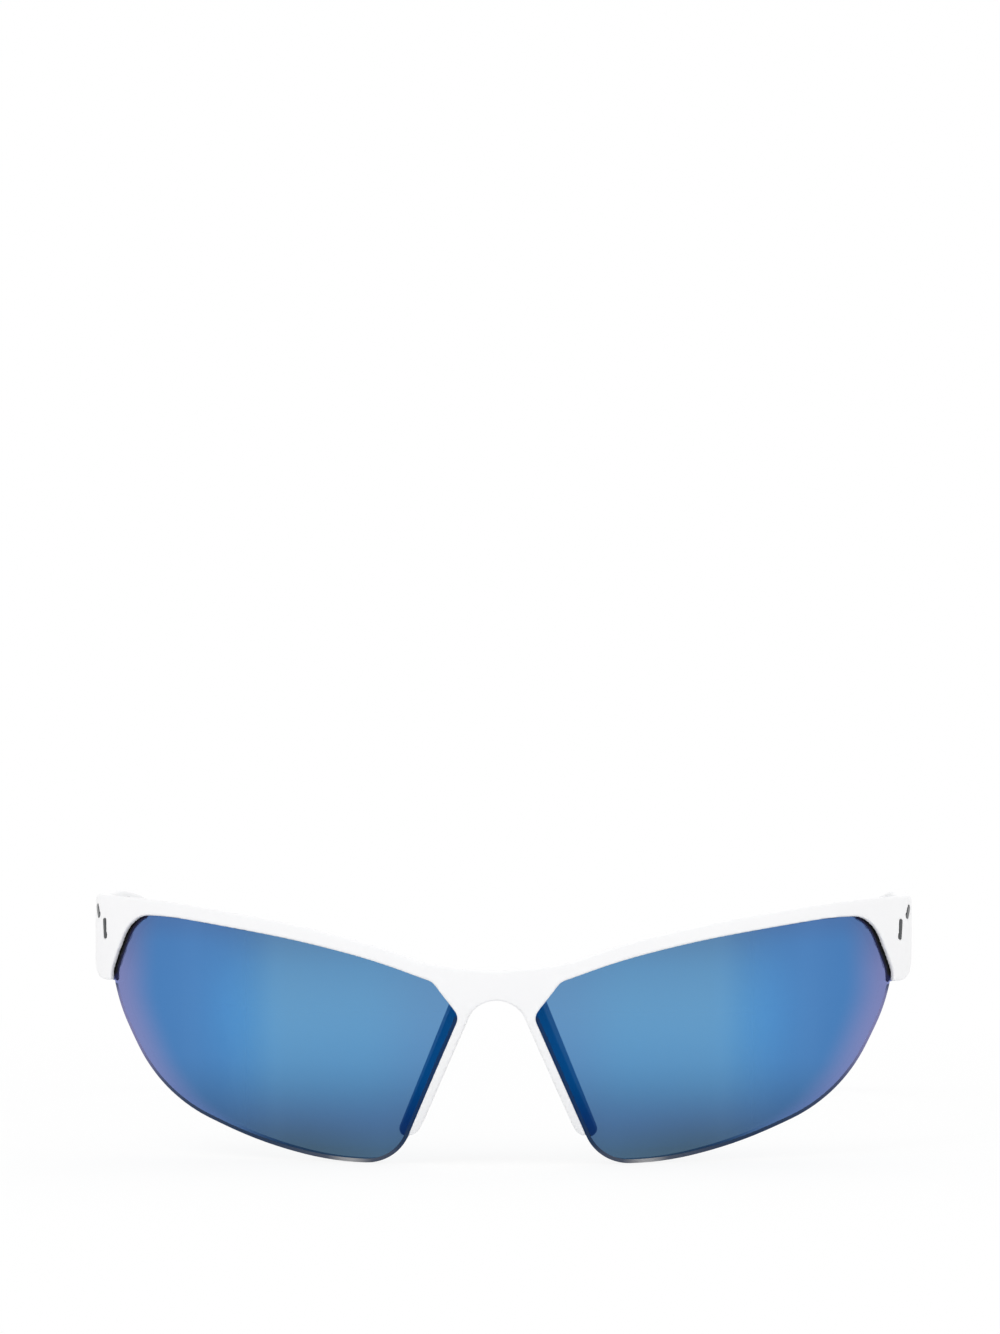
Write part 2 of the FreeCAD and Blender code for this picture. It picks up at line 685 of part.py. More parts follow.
def make_tip(floor):
    corner = TIP_EDGE_ROUND
    start = centred_section(ARM_END, RIGHT, UP, ARM_REAR_THICKNESS, ARM_REAR_HEIGHT, END_EDGE_ROUND)
    sections = [start]
    for i in range(EAR_STATIONS + 1):
        share = i / EAR_STATIONS
        slope = REAR_SLOPE + (EAR_SLOPE - REAR_SLOPE) * share
        grown = (i + 1) / (EAR_STATIONS + 1)
        thickness = ARM_REAR_THICKNESS + (TIP_THICKNESS - ARM_REAR_THICKNESS) * grown
        height = ARM_REAR_HEIGHT + (TIP_HEIGHT - ARM_REAR_HEIGHT) * grown
        middle = EAR_CENTRE + rise(slope) * EAR_BEND_RADIUS
        sections.append(centred_section(middle, REAR_SIDE, rise(slope), thickness, height, corner))
    end = BEND_OUT + way(EAR_SLOPE) * tip_length(floor)
    for i in range(TIP_END_STATIONS):
        angle = math.radians(TIP_END_ANGLE) * i / (TIP_END_STATIONS - 1)
        scale = math.cos(angle)
        middle = end + way(EAR_SLOPE) * (math.sin(angle) * TIP_HEIGHT / 2)
        sections.append(centred_section(middle, REAR_SIDE, rise(EAR_SLOPE), TIP_THICKNESS * scale,
                                        TIP_HEIGHT * scale, corner * scale))
    tip = Part.makeLoft(sections, True, False)
    above = Part.makeBox(2 * FAR, 2 * FAR, FAR, Vector(-FAR, -FAR, floor))
    return tip.common(above)


def build():
    lens = make_lens()
    floor = lens.optimalBoundingBox().ZMin
    levels = knuckle_levels()
    bore = make_wire_core(floor, WIRE_RADIUS + FIT, FIT)
    sided = {
        "lens": lens,
        "lens_gasket": make_gasket(),
        "nose_pad": make_nose_pad(),
        "end_inlays": make_inlays(),
        "front_hinge_leaf": hinge_leaf(-1, levels[0::2]),
        "front_leaf_screws": Part.makeCompound([slotted_screw(place) for place in plate_screw_places(-1)]),
        "hinge_screw": make_hinge_screw(),
        "temple_arm": make_arm().cut([hinge_pocket(1), bore]),
        "temple_hinge_leaf": hinge_leaf(1, levels[1::2]),
        "temple_leaf_screws": Part.makeCompound([slotted_screw(place) for place in plate_screw_places(1)]),
        "temple_core_wire": make_wire_core(floor, WIRE_RADIUS, 0),
        "temple_tip": make_tip(floor).cut(bore),
    }
    pieces = {"front_frame": make_front()}
    for name, shape in sided.items():
        pieces[name + "_right"] = shape
        pieces[name + "_left"] = mirrored(shape)
    return pieces, floor


def main():
    os.makedirs("parts", exist_ok=True)
    pieces, floor = build()
    boxes = [shape.optimalBoundingBox() for shape in pieces.values()]
    front = min(box.YMin for box in boxes)
    rear = max(box.YMax for box in boxes)
    move = Vector(0, -(front + rear) / 2, -floor)
    for name, shape in pieces.items():
        shape.translate(move)
        shape.exportStep("parts/" + name + ".step")
        print(name, len(shape.Solids), shape.isValid(), round(shape.Volume, 2))
    print("hinge axis", HINGE_AXIS + move, "depth", rear - front, "front at", front + move.y)


main()
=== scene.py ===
import json
import math

import bpy
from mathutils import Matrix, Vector
from mathutils.bvhtree import BVHTree


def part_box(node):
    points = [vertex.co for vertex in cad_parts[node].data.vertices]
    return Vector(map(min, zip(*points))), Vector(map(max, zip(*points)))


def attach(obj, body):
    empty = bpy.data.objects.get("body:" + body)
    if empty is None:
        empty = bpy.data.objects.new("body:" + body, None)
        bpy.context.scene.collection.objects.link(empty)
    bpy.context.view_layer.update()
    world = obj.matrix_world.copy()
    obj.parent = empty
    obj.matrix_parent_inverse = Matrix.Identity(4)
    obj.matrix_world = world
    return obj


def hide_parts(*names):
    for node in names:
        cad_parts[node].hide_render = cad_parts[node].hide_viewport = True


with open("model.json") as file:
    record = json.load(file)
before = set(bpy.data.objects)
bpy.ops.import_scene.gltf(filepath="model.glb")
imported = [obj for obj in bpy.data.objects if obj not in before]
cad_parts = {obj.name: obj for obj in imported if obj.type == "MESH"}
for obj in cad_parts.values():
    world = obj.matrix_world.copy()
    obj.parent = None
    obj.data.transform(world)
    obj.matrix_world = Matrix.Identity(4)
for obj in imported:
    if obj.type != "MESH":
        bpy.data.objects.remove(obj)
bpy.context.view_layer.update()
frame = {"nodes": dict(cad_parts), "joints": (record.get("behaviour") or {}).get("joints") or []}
print("frame loaded:", len(frame["nodes"]), "nodes")

sides = ("right", "left")
white = (1.0, 1.0, 1.0, 1.0)
weldGap = 1e-6  # metres under which two points become one


# selecting and copying

def pickOnly(piece):
    bpy.ops.object.select_all(action="DESELECT")
    piece.select_set(True)
    bpy.context.view_layer.objects.active = piece


def mergedCopy(nodeName, pieceName):
    piece = bpy.data.objects.new(pieceName, frame["nodes"][nodeName].data.copy())
    bpy.context.scene.collection.objects.link(piece)
    piece.data.materials.clear()
    pickOnly(piece)
    bpy.ops.object.mode_set(mode="EDIT")
    bpy.ops.mesh.select_all(action="SELECT")
    bpy.ops.mesh.customdata_custom_splitnormals_clear()
    bpy.ops.mesh.remove_doubles(threshold=weldGap)
    bpy.ops.object.mode_set(mode="OBJECT")
    return piece


def applyModifier(piece, kind, **settings):
    modifier = piece.modifiers.new(kind, kind)
    for name, value in settings.items():
        setattr(modifier, name, value)
    pickOnly(piece)
    bpy.ops.object.modifier_apply(modifier=modifier.name)


def smoothFaces(piece, degrees):
    pickOnly(piece)
    bpy.ops.object.shade_smooth_by_angle(angle=math.radians(degrees))


def standFor(piece, nodeName, body):
    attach(piece, body)
    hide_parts(nodeName)
    print(piece.name, len(piece.data.polygons), "faces")


# shader sockets, added up with plain operators

class Wire:
    def __init__(self, tree, socket=None):
        self.tree = tree
        self.socket = socket

    def node(self, kind, settings=None, inputs=None, out=0):
        made = self.tree.nodes.new(kind)
        for name, value in (settings or {}).items():
            if name == "stops":
                self.fillRamp(made.color_ramp, value)
            else:
                setattr(made, name, value)
        for name, value in (inputs or {}).items():
            if isinstance(value, Wire):
                self.tree.links.new(value.socket, made.inputs[name])
            else:
                made.inputs[name].default_value = value
        return Wire(self.tree, made.outputs[out] if made.outputs else None)

    def fillRamp(self, ramp, stops):
        ramp.interpolation = "EASE" if len(stops) == 2 else "B_SPLINE"
        while len(ramp.elements) < len(stops):
            ramp.elements.new(1.0)
        for element, (place, colour) in zip(ramp.elements, stops):
            element.position = place
            element.color = colour if len(colour) == 4 else (*colour, 1.0)

    def maths(self, operation, first, second):
        return self.node("ShaderNodeMath", {"operation": operation}, {0: first, 1: second})

    def __add__(self, other):
        return self.maths("ADD", self, other)

    def __sub__(self, other):
        return self.maths("SUBTRACT", self, other)

    def __rsub__(self, other):
        return self.maths("SUBTRACT", other, self)

    def __mul__(self, other):
        return self.maths("MULTIPLY", self, other)

    def __truediv__(self, other):
        return self.maths("DIVIDE", self, other)

    def __abs__(self):
        return self.maths("ABSOLUTE", self, 0.0)

    __radd__ = __add__
    __rmul__ = __mul__

    def larger(self, other):
        return self.maths("MAXIMUM", self, other)

    def ramp(self, stops):
        return self.node("ShaderNodeValToRGB", {"stops": stops}, {"Fac": self})

    def greyRamp(self, stops):
        return self.ramp([(place, (value, value, value)) for place, value in stops])

    def times(self, colour):
        settings = {"data_type": "RGBA", "blend_type": "MULTIPLY"}
        return self.node("ShaderNodeMix", settings, {0: 1.0, 6: self, 7: colour}, 2)

    def adding(self, colour, more):
        settings = {"data_type": "RGBA", "blend_type": "ADD"}
        return self.node("ShaderNodeMix", settings, {0: self, 6: colour, 7: more}, 2)

    def between(self, low, high):
        return self.node("ShaderNodeMix", {"data_type": "RGBA"}, {0: self, 6: low, 7: high}, 2)

    def noise(self, scale, detail=2.0, roughness=0.5):
        inputs = {"Vector": self, "Scale": scale, "Detail": detail, "Roughness": roughness}
        return self.node("ShaderNodeTexNoise", {}, inputs, "Fac")

    def stretched(self, scale):
        return self.node("ShaderNodeMapping", {}, {"Vector": self, "Scale": scale})

    def distance(self, point):
        return self.node("ShaderNodeVectorMath", {"operation": "DISTANCE"}, {0: self, 1: point}, "Value")

    def axes(self):
        split = self.node("ShaderNodeSeparateXYZ", {}, {"Vector": self}).socket.node
        return [Wire(self.tree, split.outputs[name]) for name in "XYZ"]


def newMaterial(name):
    material = bpy.data.materials.new(name)
    material.use_nodes = True
    material.node_tree.nodes.clear()
    tree = Wire(material.node_tree)
    return material, tree, tree.node("ShaderNodeTexCoord", out="Object")


def finishMaterial(tree, shader):
    tree.node("ShaderNodeOutputMaterial", {}, {"Surface": shader})


def alpha(colour):
    return (*colour, 1.0)


print("tools ready")


# materials

nylonLook = {
    "white": (0.92, 0.92, 0.925),
    "shade": (0.89, 0.89, 0.90),
    "cloudScale": 90,  # soft patches of about a centimetre
    "grainScale": 4200,  # moulded grain, a quarter of a millimetre
    "grainDepth": 0.00002,
    "grainStrength": 0.25,
    "grainShare": 0.4,  # of the gloss, the rest follows the patches
    "gloss": (0.34, 0.46),
}


def whiteNylon():
    material, tree, place = newMaterial("whiteNylon")
    clouds = place.noise(nylonLook["cloudScale"], detail=3.0)
    grain = place.noise(nylonLook["grainScale"], roughness=0.6)
    share = nylonLook["grainShare"]
    low, high = nylonLook["gloss"]
    bump = {"Strength": nylonLook["grainStrength"], "Distance": nylonLook["grainDepth"], "Height": grain}
    shader = tree.node("ShaderNodeBsdfPrincipled", {}, {
        "Base Color": clouds.between(alpha(nylonLook["shade"]), alpha(nylonLook["white"])),
        "Roughness": low + (high - low) * ((1 - share) * clouds + share * grain),
        "Normal": tree.node("ShaderNodeBump", {}, bump),
    })
    finishMaterial(tree, shader)
    return material


rubberLook = {
    "gasket": {
        "dark": (0.004, 0.004, 0.005),
        "light": (0.009, 0.009, 0.011),
        "gloss": (0.42, 0.56),
        "shine": 0.12,
        "sheen": 0.0,
    },
    "pad": {
        "dark": (0.009, 0.009, 0.010),
        "light": (0.020, 0.020, 0.022),
        "gloss": (0.55, 0.72),
        "shine": 0.4,
        "sheen": 0.06,
    },
    "tip": {
        "dark": (0.80, 0.80, 0.81),
        "light": (0.85, 0.85, 0.855),
        "gloss": (0.55, 0.68),
        "shine": 0.5,
        "sheen": 0.08,
    },
    "patchScale": 260,
    "speckScale": 6500,
    "speckShare": 0.3,  # of the colour, the rest follows the patches
    "speckDepth": 0.00003,
    "speckStrength": 0.35,
}

gasketForm = {
    "width": 0.00125,
    "smoothBelow": 35,  # degrees
    "paintedCoatReflection": (0.012, 0.014, 0.062),  # painted reflection of the blue coat on the side at the lens
    "glow": [(0.52, 0.0), (0.95, 1.0)],
}


def softRubber(name):
    look = rubberLook[name]
    material, tree, place = newMaterial(name + "Rubber")
    patches = place.noise(rubberLook["patchScale"], detail=3.0)
    specks = place.noise(rubberLook["speckScale"], roughness=0.65)
    share = rubberLook["speckShare"]
    low, high = look["gloss"]
    bump = {"Strength": rubberLook["speckStrength"], "Distance": rubberLook["speckDepth"], "Height": specks}
    mottle = (1 - share) * patches + share * specks
    colour = mottle.between(alpha(look["dark"]), alpha(look["light"]))
    if name == "gasket":
        near = tree.node("ShaderNodeAttribute", {"attribute_name": "nearLens"}, out="Fac")
        # painted reflection of the coat, bluer where the gasket lies close to the lens
        colour = near.greyRamp(gasketForm["glow"]).between(colour, alpha(gasketForm["paintedCoatReflection"]))
    shader = tree.node("ShaderNodeBsdfPrincipled", {}, {
        "Base Color": colour,
        "Roughness": low + (high - low) * specks,
        "Normal": tree.node("ShaderNodeBump", {}, bump),
        "Specular IOR Level": look["shine"],
        "Sheen Weight": look["sheen"],
    })
    finishMaterial(tree, shader)
    return material


inlayLook = {
    "dark": (0.018, 0.021, 0.024),
    "light": (0.050, 0.056, 0.062),
    "driftScale": 380,
    "rubbedScale": 2600,
    "gloss": (0.16, 0.26),
    "varnish": 0.3,
}


def darkInlay():
    material, tree, place = newMaterial("darkInlay")
    drift = place.noise(inlayLook["driftScale"], detail=3.0)
    low, high = inlayLook["gloss"]
    shader = tree.node("ShaderNodeBsdfPrincipled", {}, {
        "Base Color": drift.between(alpha(inlayLook["dark"]), alpha(inlayLook["light"])),
        "Roughness": low + (high - low) * place.noise(inlayLook["rubbedScale"]),
        "Coat Weight": inlayLook["varnish"],
    })
    finishMaterial(tree, shader)
    return material


steelLook = {
    "hinge": {
        "dark": (0.42, 0.42, 0.43),
        "light": (0.66, 0.66, 0.67),
        "lines": (6000, 500, 9000),  # brushed along the temple
        "gloss": (0.26, 0.42),
    },
    "screw": {
        "dark": (0.50, 0.50, 0.51),
        "light": (0.76, 0.76, 0.77),
        "lines": (900, 900, 12000),  # turned round the upright axis
        "gloss": (0.16, 0.30),
    },
    "lineDepth": 0.000008,
    "lineStrength": 0.3,
}


def brushedSteel(name):
    look = steelLook[name]
    material, tree, place = newMaterial(name + "Steel")
    lines = place.stretched(look["lines"]).noise(1.0, detail=3.0, roughness=0.6)
    low, high = look["gloss"]
    bump = {"Strength": steelLook["lineStrength"], "Distance": steelLook["lineDepth"], "Height": lines}
    shader = tree.node("ShaderNodeBsdfPrincipled", {}, {
        "Base Color": lines.between(alpha(look["dark"]), alpha(look["light"])),
        "Metallic": 1.0,
        "Roughness": low + (high - low) * lines,
        "Normal": tree.node("ShaderNodeBump", {}, bump),
    })
    finishMaterial(tree, shader)
    return material


# lenses: blue mirror coat in front, bare ground edge, smoky inside

lensForm = {
    "radius": 0.088,
    "thickness": 0.002,
    "rimLip": 0.0009,  # the bridge stands this far before the lens sphere
    "hingeAbove": 0.01125,  # hinge height over the sphere's centre
    "columns": 46,
    "rows": 30,
    "spread": (52, 18),  # degrees that the cuts cover, to the side and up or down
    "groundEdge": 0.0007,  # bare ground line along the coat's outline
    "lineStop": 0.0006,  # the line ends this far below the gasket
    "edgeRound": 0.00012,
    "roundSteps": 2,
    "roundAbove": 50,  # degrees between faces
    "smoothBelow": 35,
    "frontTolerance": 0.0001,  # how near to the sphere the front face lies
}
lensLayers = ("coat", "edge", "inside")  # in the order of their material slots
sphereCentre = Vector((
    0.0,
    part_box("front_frame")[0].y + lensForm["radius"] + lensForm["rimLip"],
    frame["joints"][0]["pos_m"][2] - lensForm["hingeAbove"],
))

coatLook = {
    "nasal": 0.0065,  # |x| where the lens starts
    "width": 0.0595,
    "height": 0.0405,
    # the three coat ramps hold the coat's blue and violet together with painted reflection: brightest in
    # the middle, darker at the bottom where the floor is mirrored, and painted shade under the brow at the
    # top
    "innerCoatAndReflection": [  # from the lower edge upwards, in the nasal half
        (0.02, (0.012, 0.014, 0.024)),
        (0.07, (0.001, 0.003, 0.034)),
        (0.18, (0.001, 0.030, 0.200)),
        (0.30, (0.001, 0.135, 0.410)),
        (0.42, (0.001, 0.219, 0.625)),
        (0.60, (0.001, 0.320, 0.860)),
        (0.80, (0.001, 0.200, 0.600)),
        (0.93, (0.002, 0.060, 0.300)),
        (1.00, (0.004, 0.020, 0.200)),
    ],
    "outerCoatAndReflection": [
        (0.10, (0.050, 0.120, 0.270)),
        (0.26, (0.060, 0.172, 0.391)),
        (0.42, (0.075, 0.235, 0.545)),
        (0.88, (0.075, 0.235, 0.545)),
        (0.98, (0.082, 0.185, 0.430)),
    ],
    "edgeCoatAndReflection": [
        (0.15, (0.100, 0.165, 0.420)),
        (0.36, (0.245, 0.285, 0.570)),
        (0.75, (0.235, 0.255, 0.530)),
        (0.95, (0.115, 0.165, 0.360)),
    ],
    "paintedThroughLight": (0.095, 0.173, 0.233),  # painted through-light: paler where the smoke behind closes, standing in for the background light it blocks
    "throughLightPlaces": [
        (0.48, 0.0),
        (0.55, 0.45),
        (0.60, 0.93),
        (0.64, 1.0),
        (0.68, 0.72),
        (0.72, 0.39),
        (0.80, 0.07),
        (0.90, 0.0),
    ],
    "nasalLift": (0.011, 0.040, 0.100),  # bluer in the lower nasal corner
    "nasalLiftAcross": [(0.09, 0.0), (0.17, 1.0), (0.25, 0.9), (0.42, 0.0)],
    "nasalLiftUp": [(0.08, 1.0), (0.32, 0.0)],
    "nasalTint": [(0.04, (1.0, 0.60, 0.82)), (0.28, (1.0, 1.0, 1.0))],
    "outwards": [(0.46, 0.0), (0.79, 1.0)],
    "edgeBand": [(0.87, 0.0), (1.0, 1.0)],
    "edgeTurn": [  # bends the violet edge along the lens's outline
        (0.05, 0.40),
        (0.15, 0.25),
        (0.25, 0.16),
        (0.38, 0.09),
        (0.55, 0.037),
        (0.71, 0.0),
        (1.0, 0.03),
    ],
    "innerClear": [  # share that passes the coat, from the lower edge upwards
        (0.07, 0.33),
        (0.18, 0.385),
        (0.30, 0.49),
        (0.42, 0.61),
        (0.60, 0.735),
        (0.80, 0.69),
        (1.0, 0.52),
    ],
    "outerClear": 0.12,
    "clearTint": (0.39, 0.73, 1.0),
    "smudgeScale": 160,
    "gloss": (0.05, 0.09),
}


def lensPlace(place):
    x, _, z = place.axes()
    return (abs(x) - coatLook["nasal"]) / coatLook["width"], z / coatLook["height"]


def mirrorCoat():
    material, tree, place = newMaterial("mirrorCoat")
    across, up = lensPlace(place)
    outwards = across.greyRamp(coatLook["outwards"])
    # the coat's colour by height carries painted reflection of the floor and painted shade under the brow
    inner = up.ramp(coatLook["innerCoatAndReflection"]).times(across.ramp(coatLook["nasalTint"]))
    coatAndReflection = outwards.between(inner, up.ramp(coatLook["outerCoatAndReflection"]))
    edgeBand = (across + up.greyRamp(coatLook["edgeTurn"])).greyRamp(coatLook["edgeBand"])
    coatAndReflection = edgeBand.between(coatAndReflection, up.ramp(coatLook["edgeCoatAndReflection"]))
    innerClear = up.greyRamp(coatLook["innerClear"])
    # painted through-light, added where the smoke behind the coat closes
    throughLightShare = across.greyRamp(coatLook["throughLightPlaces"]) * innerClear
    coatAndReflection = throughLightShare.adding(coatAndReflection, alpha(coatLook["paintedThroughLight"]))
    corner = across.greyRamp(coatLook["nasalLiftAcross"]) * up.greyRamp(coatLook["nasalLiftUp"])
    coatAndReflection = corner.adding(coatAndReflection, alpha(coatLook["nasalLift"]))
    smudge = place.noise(coatLook["smudgeScale"], detail=4.0)
    low, high = coatLook["gloss"]
    coat = tree.node("ShaderNodeBsdfPrincipled", {}, {
        "Base Color": coatAndReflection,
        "Metallic": 1.0,
        "Roughness": low + (high - low) * smudge,
    })
    clear = innerClear * (1 - outwards) + coatLook["outerClear"] * outwards
    through = tree.node("ShaderNodeBsdfTransparent", {}, {"Color": alpha(coatLook["clearTint"])})
    finishMaterial(tree, tree.node("ShaderNodeMixShader", {}, {0: clear, 1: coat, 2: through}))
    return material


edgeLook = {
    "line": (0.012, 0.034, 0.085),  # at the front, frosted towards the back
    "frosted": (0.34, 0.38, 0.42),
    "front": [(0.06, 1.0), (0.16, 0.0)],  # share of the thickness, from the front
    "wall": [(0.10, 0.0), (0.90, 1.0)],
    "outer": (0.200, 0.200, 0.400),  # beside the coat's violet edge
    "outerHalf": [(0.5, 0.0), (0.7, 1.0)],
    "outerHeights": [(0.30, 0.0), (0.44, 1.0), (0.66, 1.0), (0.70, 0.0)],
    "nasal": (0.002, 0.030, 0.110),  # beside the nose pads
    "nasalPlaces": [(0.12, 1.0), (0.25, 0.0)],
    "nasalHeights": [(0.11, 0.0), (0.17, 1.0)],
    "tableReflection": (0.420, 0.420, 0.430),  # painted reflection of the table: paler where the lower edge meets it
    "tableReflectionReach": 0.06,
    "tableReflectionPlaces": [(0.345, 0.0), (0.39, 1.0), (0.43, 1.0), (0.475, 0.0)],
    "tableReflectionHeights": [(0.03, 1.0), (0.10, 0.0)],
    "grainScale": 700,
    "gloss": (0.18, 0.30),
    "shine": 0.15,
}
smokeLook = {
    "dark": (0.012, 0.014, 0.017),
    "light": (0.020, 0.022, 0.026),
    "outer": (0.095, 0.215, 0.340),  # painted through-light: as blue as the clear half looks from behind with light passing it
    "outerPlaces": [(0.50, 0.0), (0.70, 1.0)],
    "clear": [(0.50, 0.45), (0.70, 0.03)],  # share that passes the smoke
    "driftScale": 120,
    "gloss": (0.05, 0.10),
}


def lensEdge():
    material, tree, place = newMaterial("lensEdge")
    x, _, _ = place.axes()
    across, up = lensPlace(place)
    low, high = edgeLook["gloss"]
    outer = across.greyRamp(edgeLook["outerHalf"]) * up.greyRamp(edgeLook["outerHeights"])
    nasal = across.greyRamp(edgeLook["nasalPlaces"]) * up.greyRamp(edgeLook["nasalHeights"])
    # painted reflection of the table along the lowest part of the edge
    tableReflection = (abs(x) / edgeLook["tableReflectionReach"]).greyRamp(edgeLook["tableReflectionPlaces"])
    tableReflection = tableReflection * up.greyRamp(edgeLook["tableReflectionHeights"])
    depth = (lensForm["radius"] - place.distance(sphereCentre)) / lensForm["thickness"]
    front = depth.greyRamp(edgeLook["front"])
    wall = depth.greyRamp(edgeLook["wall"])
    colour = wall.between(alpha(edgeLook["line"]), alpha(edgeLook["frosted"]))
    colour = (outer * front).between(colour, alpha(edgeLook["outer"]))
    colour = (nasal * front).between(colour, alpha(edgeLook["nasal"]))
    shader = tree.node("ShaderNodeBsdfPrincipled", {}, {
        "Base Color": tableReflection.between(colour, alpha(edgeLook["tableReflection"])),
        "Roughness": low + (high - low) * place.noise(edgeLook["grainScale"], detail=3.0),
        "Specular IOR Level": edgeLook["shine"],
    })
    finishMaterial(tree, shader)
    return material


def smokyInside():
    material, tree, place = newMaterial("smokyInside")
    drift = place.noise(smokeLook["driftScale"], detail=3.0)
    across, _ = lensPlace(place)
    low, high = smokeLook["gloss"]
    smoke = drift.between(alpha(smokeLook["dark"]), alpha(smokeLook["light"]))
    # painted through-light on the closed part of the smoke, in place of its dark tint
    outer = across.greyRamp(smokeLook["outerPlaces"])
    glass = tree.node("ShaderNodeBsdfPrincipled", {}, {
        "Base Color": outer.between(smoke, alpha(smokeLook["outer"])),
        "Roughness": low + (high - low) * drift,
    })
    through = tree.node("ShaderNodeBsdfTransparent", {}, {"Color": white})
    clear = across.greyRamp(smokeLook["clear"])
    finishMaterial(tree, tree.node("ShaderNodeMixShader", {}, {0: clear, 1: glass, 2: through}))
    return material


looks = {
    "nylon": whiteNylon(),
    "gasket": softRubber("gasket"),
    "pad": softRubber("pad"),
    "tip": softRubber("tip"),
    "inlay": darkInlay(),
    "hinge": brushedSteel("hinge"),
    "screw": brushedSteel("screw"),
    "coat": mirrorCoat(),
    "edge": lensEdge(),
    "inside": smokyInside(),
}
print("materials:", len(looks))


def keepFrontFace(piece):
    pickOnly(piece)
    bpy.ops.object.mode_set(mode="EDIT")
    bpy.ops.mesh.select_mode(type="FACE")
    bpy.ops.mesh.select_all(action="DESELECT")
    bpy.ops.object.mode_set(mode="OBJECT")
    onFront = lensForm["radius"] - lensForm["frontTolerance"]
    for face in piece.data.polygons:
        corners = [piece.data.vertices[index].co for index in face.vertices]
        face.select = min((corner - sphereCentre).length for corner in corners) < onFront
    bpy.ops.object.mode_set(mode="EDIT")
    bpy.ops.mesh.delete(type="FACE")
    bpy.ops.mesh.select_all(action="SELECT")
    bpy.ops.mesh.region_to_loop()  # leaves the outline
    bpy.ops.mesh.select_all(action="INVERT")
    bpy.ops.mesh.delete(type="EDGE_FACE")
    bpy.ops.mesh.select_all(action="SELECT")
    bpy.ops.mesh.edge_face_add()


def markGroundEdge(piece, side):
    for name in lensLayers:
        piece.data.materials.append(looks[name])
    bpy.ops.mesh.select_mode(type="FACE")
    bpy.ops.mesh.inset(thickness=lensForm["groundEdge"], use_boundary=True, use_even_offset=False)
    bpy.ops.mesh.select_all(action="INVERT")
    piece.active_material_index = lensLayers.index("edge")
    bpy.ops.object.material_slot_assign()
    bpy.ops.object.mode_set(mode="OBJECT")
    closeLine(piece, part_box("lens_gasket_" + side)[0].z - lensForm["lineStop"])
    bpy.ops.object.mode_set(mode="EDIT")
    bpy.ops.mesh.select_all(action="SELECT")
    bpy.ops.mesh.remove_doubles(threshold=weldGap)


def closeLine(piece, height):
    # no ground line where the rim and the gasket hold the edge
    uses = {}
    for face in piece.data.polygons:
        for key in face.edge_keys:
            uses[key] = uses.get(key, 0) + 1
    outline = {corner for key, count in uses.items() if count == 1 for corner in key}
    points = piece.data.vertices
    for key in uses:
        ends = [corner for corner in key if corner in outline]
        if len(ends) == 1 and points[ends[0]].co.z > height:
            inner = key[0] if key[1] == ends[0] else key[1]
            points[inner].co = points[ends[0]].co


def cutPatch(piece, side):
    sign = 1 if side == "right" else -1
    reach, rise = lensForm["spread"]
    columns, rows = lensForm["columns"], lensForm["rows"]
    across = [math.radians(reach * step / columns) for step in range(columns)]
    upward = [math.radians(rise * (2 * step / rows - 1)) for step in range(1, rows)]
    planes = [(math.cos(turn), sign * math.sin(turn), 0.0) for turn in across]
    planes += [(0.0, math.sin(turn), math.cos(turn)) for turn in upward]
    for normal in planes:
        bpy.ops.mesh.select_all(action="SELECT")
        bpy.ops.mesh.bisect(plane_co=sphereCentre, plane_no=normal)
    bpy.ops.object.mode_set(mode="OBJECT")
    for point in piece.data.vertices:
        point.co = sphereCentre + (point.co - sphereCentre).normalized() * lensForm["radius"]


def makeLens(side):
    piece = mergedCopy("lens_" + side, "lensShell_" + side)
    keepFrontFace(piece)
    markGroundEdge(piece, side)
    cutPatch(piece, side)
    bpy.ops.object.mode_set(mode="EDIT")
    bpy.ops.mesh.select_all(action="SELECT")
    bpy.ops.mesh.normals_make_consistent(inside=False)
    bpy.ops.object.mode_set(mode="OBJECT")
    if piece.data.polygons[0].normal.y > 0:
        piece.data.flip_normals()
    applyModifier(piece, "SOLIDIFY", thickness=lensForm["thickness"], offset=-1.0,
                  material_offset=lensLayers.index("inside"))
    applyModifier(piece, "BEVEL", width=lensForm["edgeRound"], segments=lensForm["roundSteps"],
                  limit_method="ANGLE", angle_limit=math.radians(lensForm["roundAbove"]),
                  material=lensLayers.index("edge"))
    bpy.ops.object.mode_set(mode="EDIT")
    bpy.ops.mesh.select_all(action="SELECT")
    bpy.ops.mesh.dissolve_degenerate(threshold=weldGap)
    bpy.ops.object.mode_set(mode="OBJECT")
    smoothFaces(piece, lensForm["smoothBelow"])
    standFor(piece, "lens_" + side, "front")


for side in sides:
    makeLens(side)

# moulded pieces, with the sharp edges of the solids rounded over

mouldForm = {
    "front_frame": {"name": "mouldedFront", "voxel": 0.000235, "rounds": 4},
    "temple_arm": {"name": "mouldedArm", "voxel": 0.00022, "rounds": 6},
    "temple_tip": {"name": "softTip", "voxel": 0.00022, "rounds": 8},
    "nose_pad": {"name": "softPad", "voxel": 0.00018, "rounds": 14},
}
mouldFinish = {"factor": 0.5, "smoothBelow": 60}


def mould(nodeName, form, pieceName, material, body):
    piece = mergedCopy(nodeName, pieceName)
    applyModifier(piece, "REMESH", mode="VOXEL", voxel_size=form["voxel"])
    applyModifier(piece, "SMOOTH", factor=mouldFinish["factor"], iterations=form["rounds"])
    smoothFaces(piece, mouldFinish["smoothBelow"])
    piece.data.materials.append(material)
    standFor(piece, nodeName, body)


